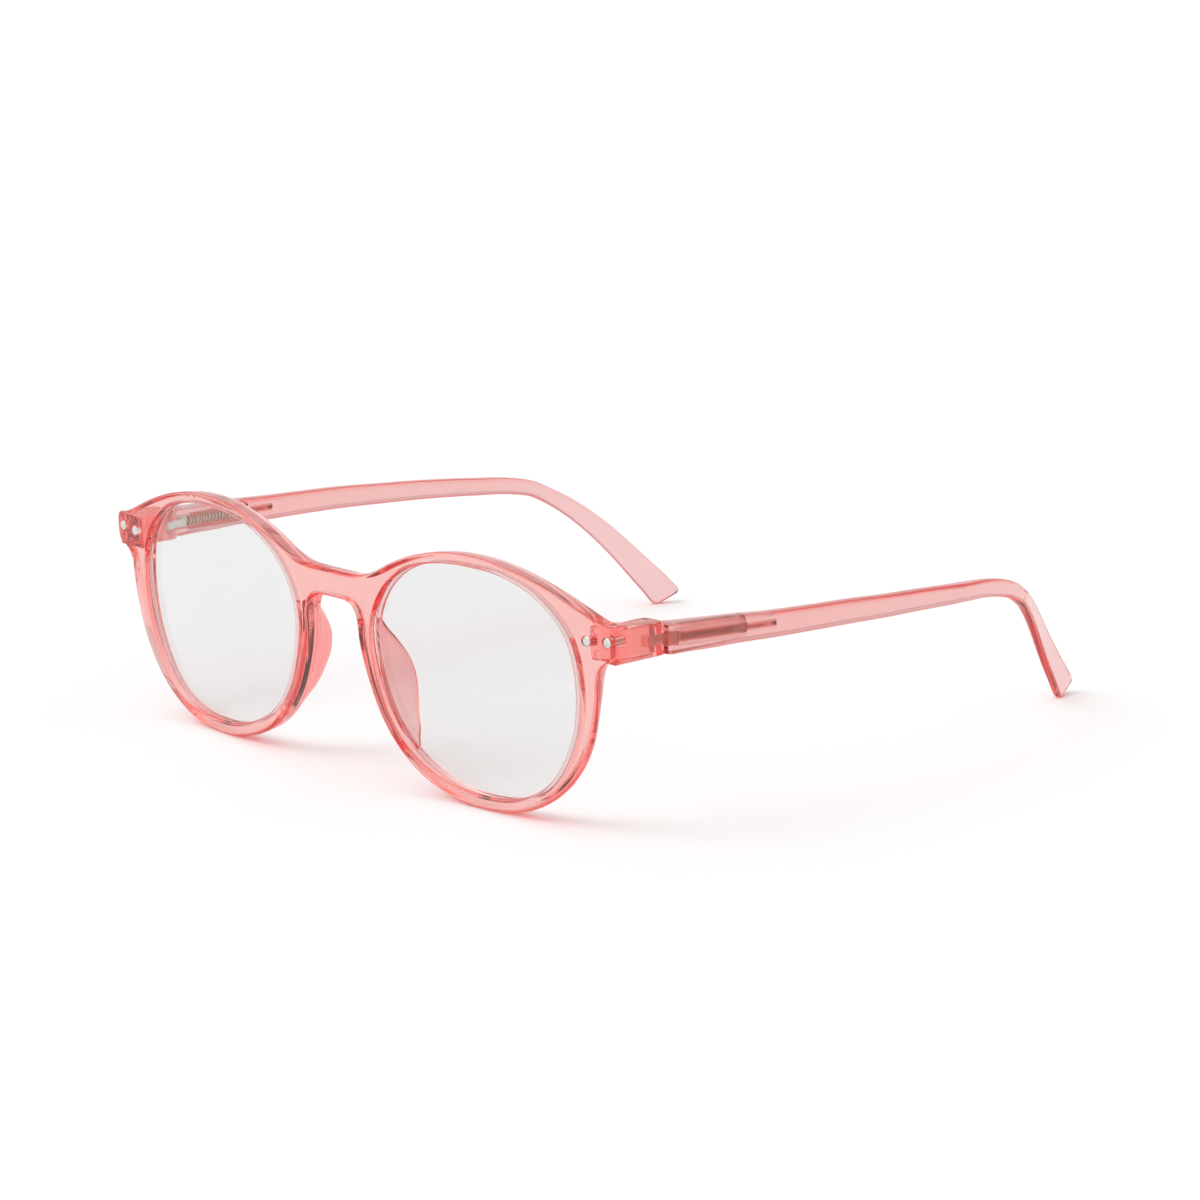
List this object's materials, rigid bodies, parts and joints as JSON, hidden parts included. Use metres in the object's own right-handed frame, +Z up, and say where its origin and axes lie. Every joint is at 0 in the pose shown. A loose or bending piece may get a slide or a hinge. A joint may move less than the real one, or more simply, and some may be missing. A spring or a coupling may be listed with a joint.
{
  "type": "blue light glasses",
  "caption": "Round-rim reading glasses in clear coral plastic with neutral lenses, integral nose pads and folding temples on sprung hinges.",
  "frame": {"origin": "on the table plane, under the middle of the overall box, temples open", "axes": "+X toward the wearer's left, +Y back along the temples, +Z up; the front of the glasses faces -Y"},
  "size_m": [0.1414, 0.1456, 0.0463],
  "materials": {
    "front_plastic": "clear coral, polished",
    "temple_plastic": "clear coral, polished",
    "lens": "clear, very slightly grey, thin coating",
    "rivet_metal": "satin",
    "link_metal": "satin",
    "spring_steel": "drawn wire, dull",
    "nut_metal": "satin",
    "screw_metal": "satin"
  },
  "bodies": {
    "front": {"front_frame": "front_plastic", "lens_left": "lens", "lens_right": "lens", "rivet_left_inner": "rivet_metal", "rivet_left_outer": "rivet_metal", "rivet_right_inner": "rivet_metal", "rivet_right_outer": "rivet_metal", "hinge_screw_left": "screw_metal", "hinge_screw_right": "screw_metal"},
    "link_left": {"hinge_link_left": "link_metal", "spring_nut_left": "nut_metal", "hinge_spring_left": "spring_steel"},
    "link_right": {"hinge_link_right": "link_metal", "spring_nut_right": "nut_metal", "hinge_spring_right": "spring_steel"},
    "arm_left": {"temple_left": "temple_plastic"},
    "arm_right": {"temple_right": "temple_plastic"}
  },
  "joints": [
    {"name": "left_fold", "type": "hinge", "parent": "front", "child": "link_left", "pos_m": [0.0644, -0.05684, 0.0341], "axis": [0, 0, 1], "range_deg": [-5, 88]},
    {"name": "right_fold", "type": "hinge", "parent": "front", "child": "link_right", "pos_m": [-0.0644, -0.05684, 0.0341], "axis": [0, 0, -1], "range_deg": [-5, 84]},
    {"name": "left_spring_travel", "type": "slide", "parent": "link_left", "child": "arm_left", "axis": [0.1044, 0.9939, -0.0348], "range_m": [0, 0.0015], "stiffness_N_per_m": 400, "springref_m": -0.003, "deforming": ["hinge_spring_left"]},
    {"name": "right_spring_travel", "type": "slide", "parent": "link_right", "child": "arm_right", "axis": [-0.1044, 0.9939, -0.0348], "range_m": [0, 0.0015], "stiffness_N_per_m": 400, "springref_m": -0.003, "deforming": ["hinge_spring_right"]}
  ]
}
